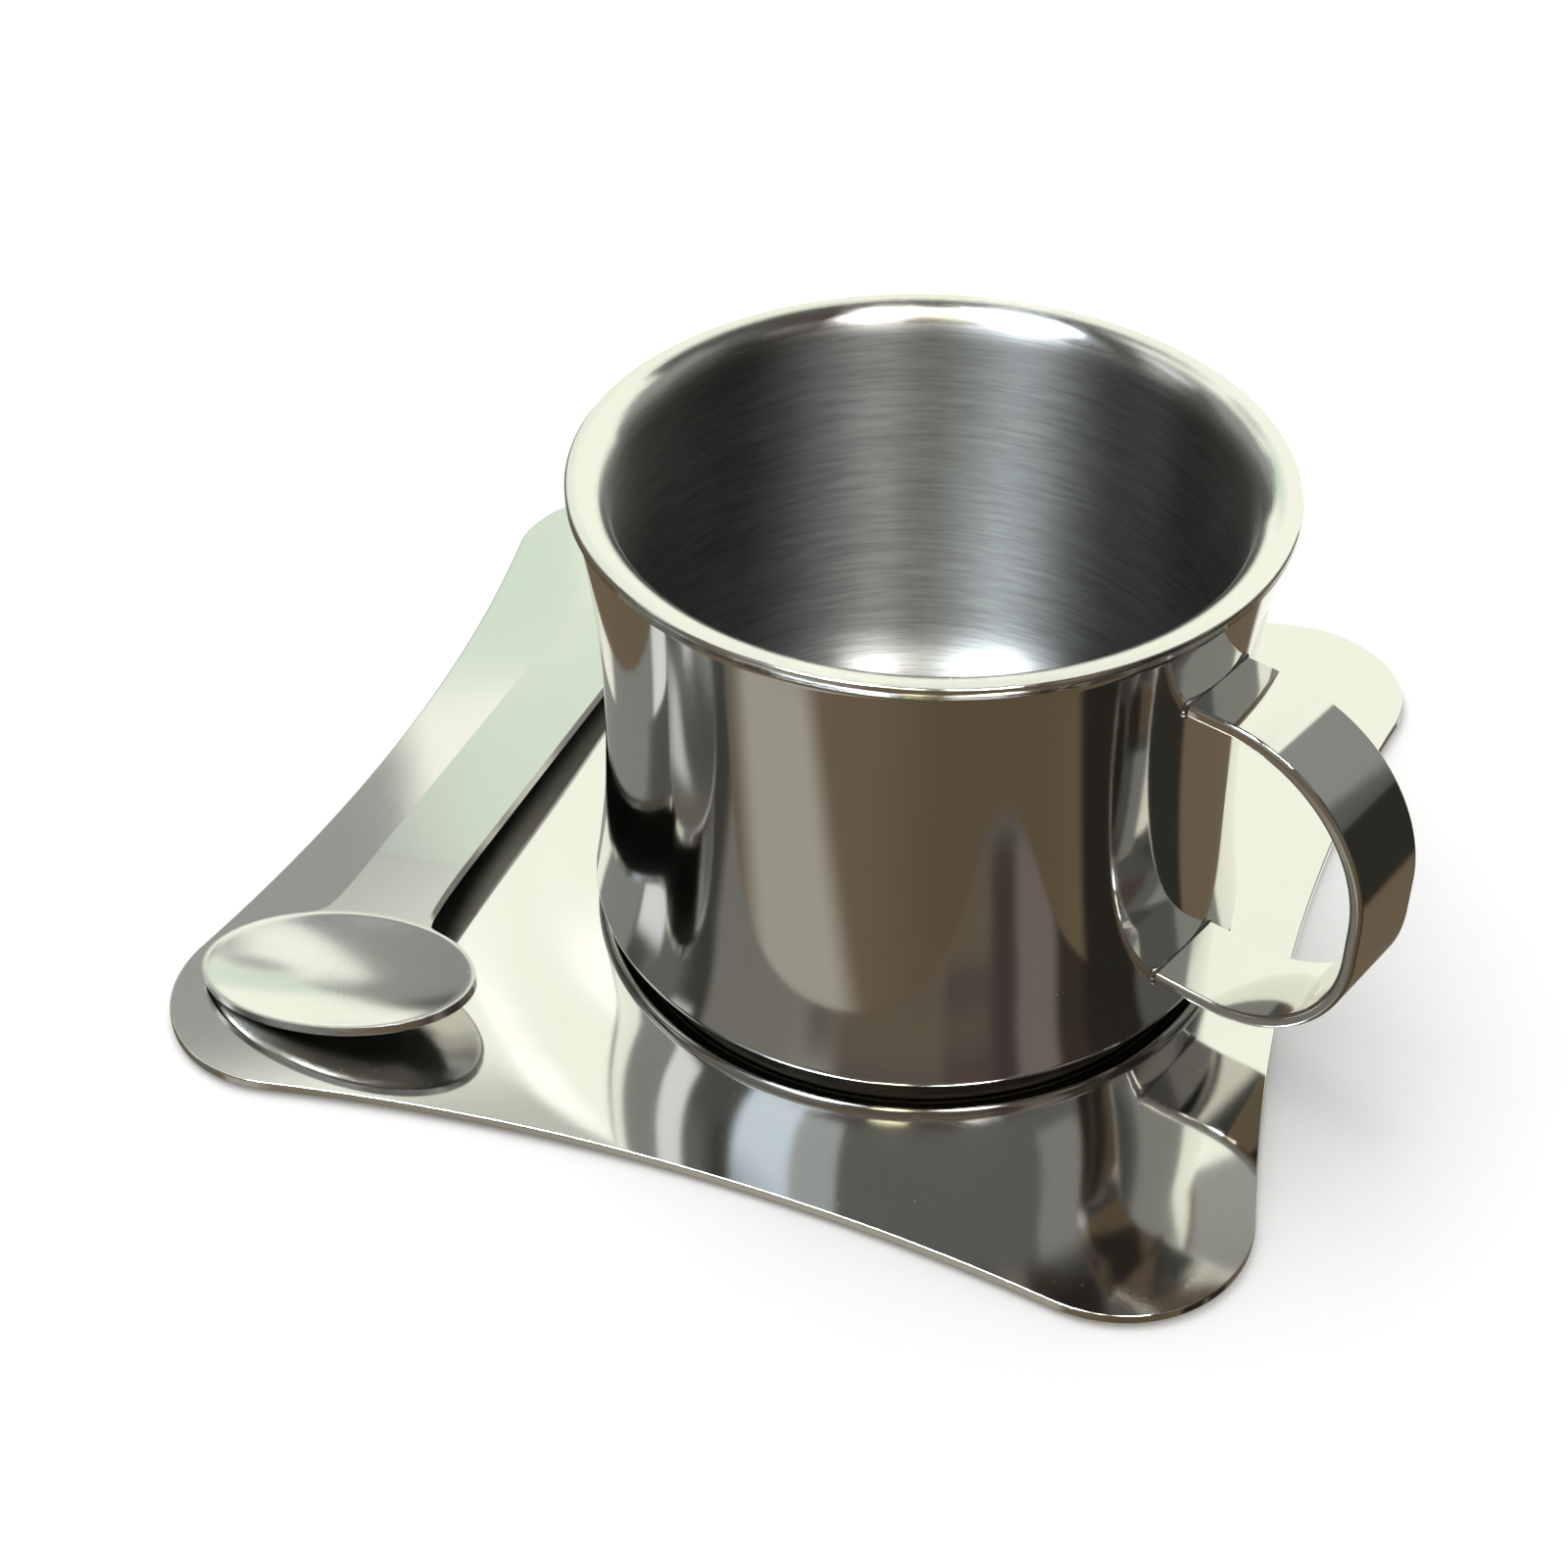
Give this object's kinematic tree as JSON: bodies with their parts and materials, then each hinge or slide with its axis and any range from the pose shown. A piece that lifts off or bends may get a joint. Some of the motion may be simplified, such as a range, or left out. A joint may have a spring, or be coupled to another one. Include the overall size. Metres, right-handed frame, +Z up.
{
  "type": "shaving mug with saucer and spoon",
  "caption": "Double-walled metal shaving mug with a waisted body, flared lip and strap handle, in the well of a pressed four-cornered saucer with a spoon",
  "frame": {"origin": "middle of the saucer, on the flat underside of its well, where the set stands on a table", "axes": "+X towards the side of the saucer where the mug and its handle stand, +Y towards the free end of the spoon's arm, +Z up"},
  "size_m": [0.1417, 0.1336, 0.0623],
  "materials": {
    "polished_sheet": "polished",
    "polished_shell": "polished",
    "satin_liner": "satin",
    "polished_strap": "polished",
    "weld_bead": "satin",
    "polished_spoon": "polished"
  },
  "bodies": {
    "saucer": {"saucer_plate": "polished_sheet"},
    "mug": {"outer_shell": "polished_shell", "inner_liner": "satin_liner", "base_pan": "satin_liner", "handle_strap": "polished_strap", "handle_weld_upper": "weld_bead", "handle_weld_lower": "weld_bead"},
    "spoon": {"spoon": "polished_spoon"}
  },
  "joints": [
    {"name": "mug_lift", "type": "slide", "parent": "saucer", "child": "mug", "axis": [0, 0, 1], "range_m": [0, 0.1]},
    {"name": "spoon_lift", "type": "slide", "parent": "saucer", "child": "spoon", "axis": [0, 0, 1], "range_m": [0, 0.1]}
  ]
}
